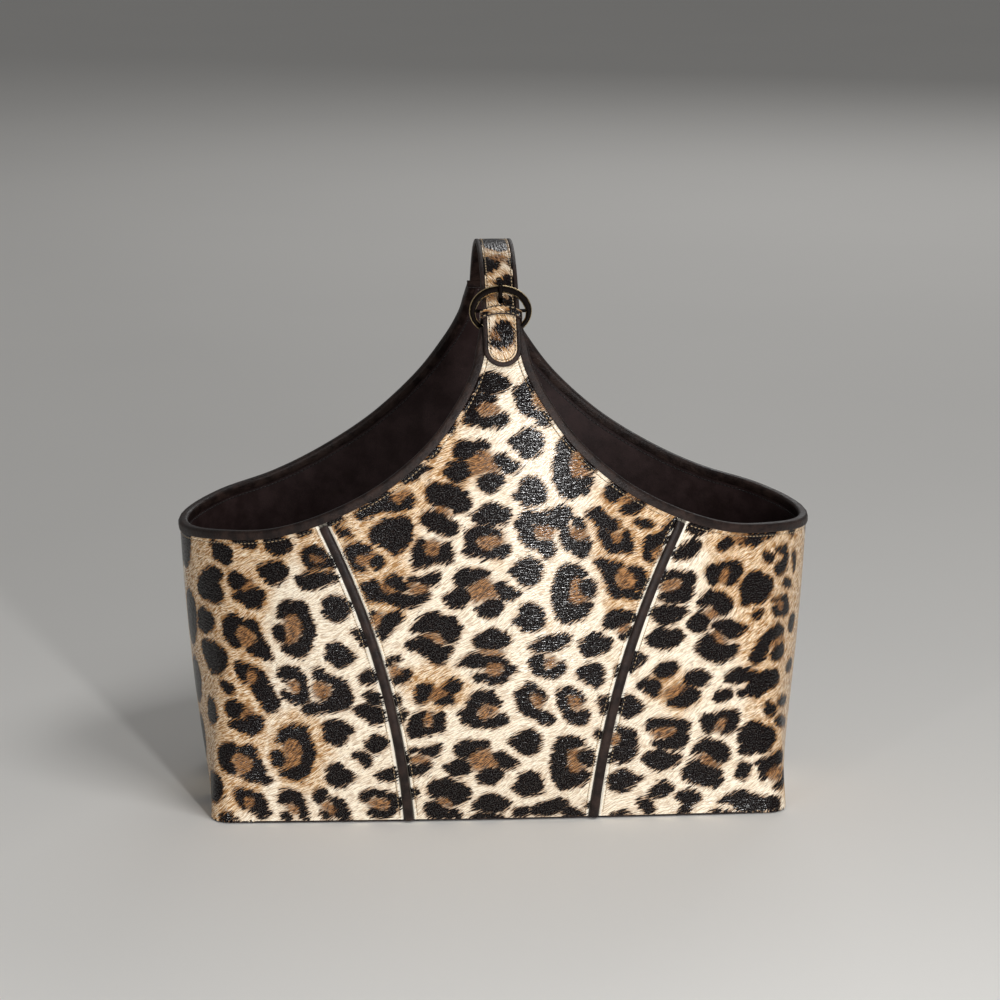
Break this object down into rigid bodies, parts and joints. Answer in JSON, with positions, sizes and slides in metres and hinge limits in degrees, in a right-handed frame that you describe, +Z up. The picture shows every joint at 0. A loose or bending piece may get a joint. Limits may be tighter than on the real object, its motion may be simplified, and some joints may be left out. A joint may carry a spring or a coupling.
{
  "type": "magazine basket",
  "caption": "Stiff leather-covered magazine basket in a leopard print: front and back sweep up into necks joined by an arched strap handle with a round buckle.",
  "frame": {"origin": "on the floor under the middle of the base", "axes": "+X to the basket's right end as seen from the front, +Z up, the front with the buckle faces -Y"},
  "size_m": [0.4274, 0.242, 0.3766],
  "materials": {
    "print_leather": "glossy leopard-print leather with a fine embossed grain",
    "brown_leather": "dark brown leather, fine grain, soft sheen",
    "lining": "dark brown matt lining leather",
    "board": "grey stiffening board, hidden",
    "aged_brass": "darkened brass, polished"
  },
  "bodies": {
    "basket": {"front_panel": "print_leather", "back_panel": "print_leather", "left_end_panel": "print_leather", "right_end_panel": "print_leather", "front_board": "board", "back_board": "board", "left_end_board": "board", "right_end_board": "board", "front_lining": "lining", "back_lining": "lining", "left_end_lining": "lining", "right_end_lining": "lining", "base_cover": "brown_leather", "base_board": "board", "base_lining": "lining", "front_left_piping": "brown_leather", "front_right_piping": "brown_leather", "back_left_piping": "brown_leather", "back_right_piping": "brown_leather", "left_rim_binding": "brown_leather", "right_rim_binding": "brown_leather", "strap_lining": "brown_leather", "strap_core": "board", "strap_face": "print_leather", "buckle_tab": "brown_leather"},
    "ring": {"buckle_ring": "aged_brass"},
    "prong": {"buckle_prong": "aged_brass"},
    "keeper": {"keeper_loop": "print_leather"}
  },
  "joints": [
    {"name": "ring_tilt", "type": "hinge", "parent": "basket", "child": "ring", "pos_m": [0, -0.07453, 0.34293], "axis": [1, 0, 0], "range_deg": [-3, 6]},
    {"name": "prong_lift", "type": "hinge", "parent": "ring", "child": "prong", "pos_m": [0, -0.07453, 0.34293], "axis": [1, 0, 0], "range_deg": [0, 8]},
    {"name": "keeper_slide", "type": "slide", "parent": "basket", "child": "keeper", "axis": [0, -0.7254, -0.6884], "range_m": [0, 0.004]}
  ]
}
